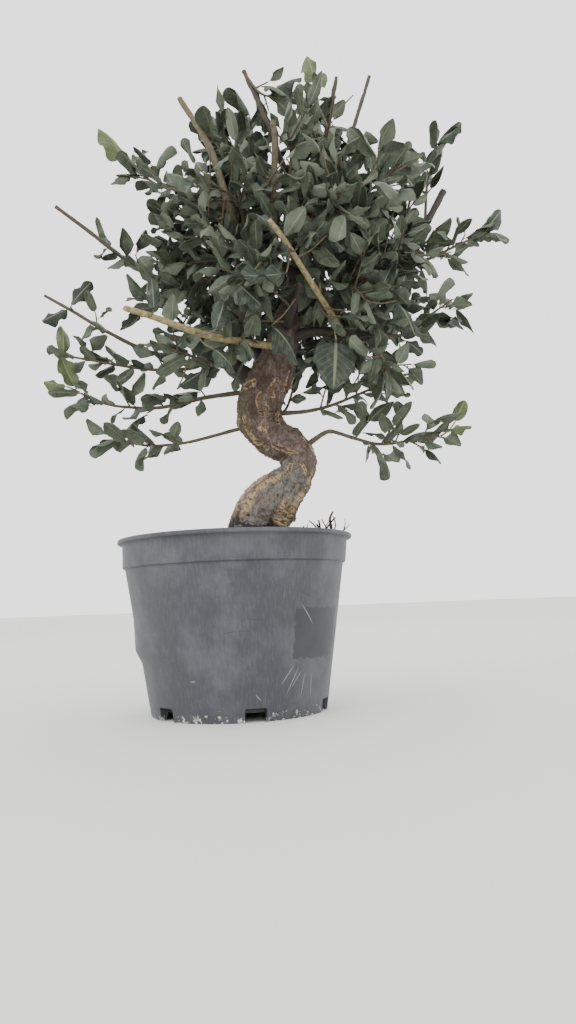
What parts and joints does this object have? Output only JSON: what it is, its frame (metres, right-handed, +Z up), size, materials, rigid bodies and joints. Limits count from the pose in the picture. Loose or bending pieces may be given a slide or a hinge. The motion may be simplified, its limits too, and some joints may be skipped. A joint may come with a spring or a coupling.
{
  "type": "cork oak bonsai",
  "caption": "Small evergreen oak with a winding corky trunk, a round crown of leathery leaves and pruned bare sticks, growing in a round tapered plastic nursery pot.",
  "frame": {"origin": "on the surface that the pot stands on, below the middle of the whole plant's box (the pot's axis is 43.5 mm to the left of it, at x = -0.0435, y = 0.0065)", "axes": "+Z up along the plant's height; the side that it is viewed from faces -Y, so +X is the viewer's right"},
  "size_m": [0.3954, 0.2793, 0.5761],
  "materials": {
    "pot_plastic": "weathered slate-grey nursery plastic with dusty scuffs",
    "potting_mix": "crumbly dark peat and bark mix",
    "cork_bark": "rough grey-brown corky bark with tan furrows",
    "leaf": "leathery dark green leaves on thin brown stems",
    "young_leaf": "soft pale green new leaves"
  },
  "bodies": {
    "root": {"leafy_stem_beside_trunk": "leaf", "leafy_stem_crown_01": "leaf", "leafy_stem_crown_02": "leaf", "leafy_stem_crown_03": "leaf", "leafy_stem_crown_04": "leaf", "leafy_stem_crown_05": "leaf", "leafy_stem_crown_06": "leaf", "leafy_stem_crown_07": "leaf", "leafy_stem_crown_08": "leaf", "leafy_stem_crown_09": "leaf", "leafy_stem_crown_10": "leaf", "leafy_stem_crown_11": "leaf", "leafy_stem_crown_12": "leaf", "leafy_stem_crown_13": "leaf", "leafy_stem_crown_14": "leaf", "leafy_stem_crown_15": "leaf", "leafy_stem_crown_16": "leaf", "leafy_stem_crown_17": "leaf", "leafy_stem_crown_18": "leaf", "leafy_stem_crown_19": "leaf", "leafy_stem_crown_20": "leaf", "leafy_stem_crown_21": "leaf", "leafy_stem_crown_22": "leaf", "leafy_stem_crown_24": "leaf", "leafy_stem_crown_25": "leaf", "leafy_stem_far_right": "leaf", "leafy_stem_front_left_rod": "leaf", "leafy_stem_front_rod": "leaf", "leafy_stem_inner_right": "leaf", "leafy_stem_left": "leaf", "leafy_stem_left_fork": "leaf", "leafy_stem_left_front": "leaf", "leafy_stem_left_inner": "leaf", "leafy_stem_left_rod": "leaf", "leafy_stem_low_left": "leaf", "leafy_stem_low_right": "leaf", "leafy_stem_right": "leaf", "leafy_stem_right_mid": "leaf", "leafy_stem_right_under": "leaf", "leafy_stem_top": "leaf", "leafy_stem_top_left": "leaf", "leafy_stem_upper_left": "leaf", "leafy_stem_upper_left_rod": "leaf", "leafy_stem_upper_right": "leaf", "nursery_pot": "pot_plastic", "potting_soil": "potting_mix", "trunk": "cork_bark", "young_shoot_left": "young_leaf", "young_shoot_left_fork": "young_leaf", "young_shoot_low_right": "young_leaf", "young_shoot_top": "young_leaf", "young_shoot_upper_left": "young_leaf", "young_shoot_upper_right": "young_leaf"}
  },
  "joints": []
}
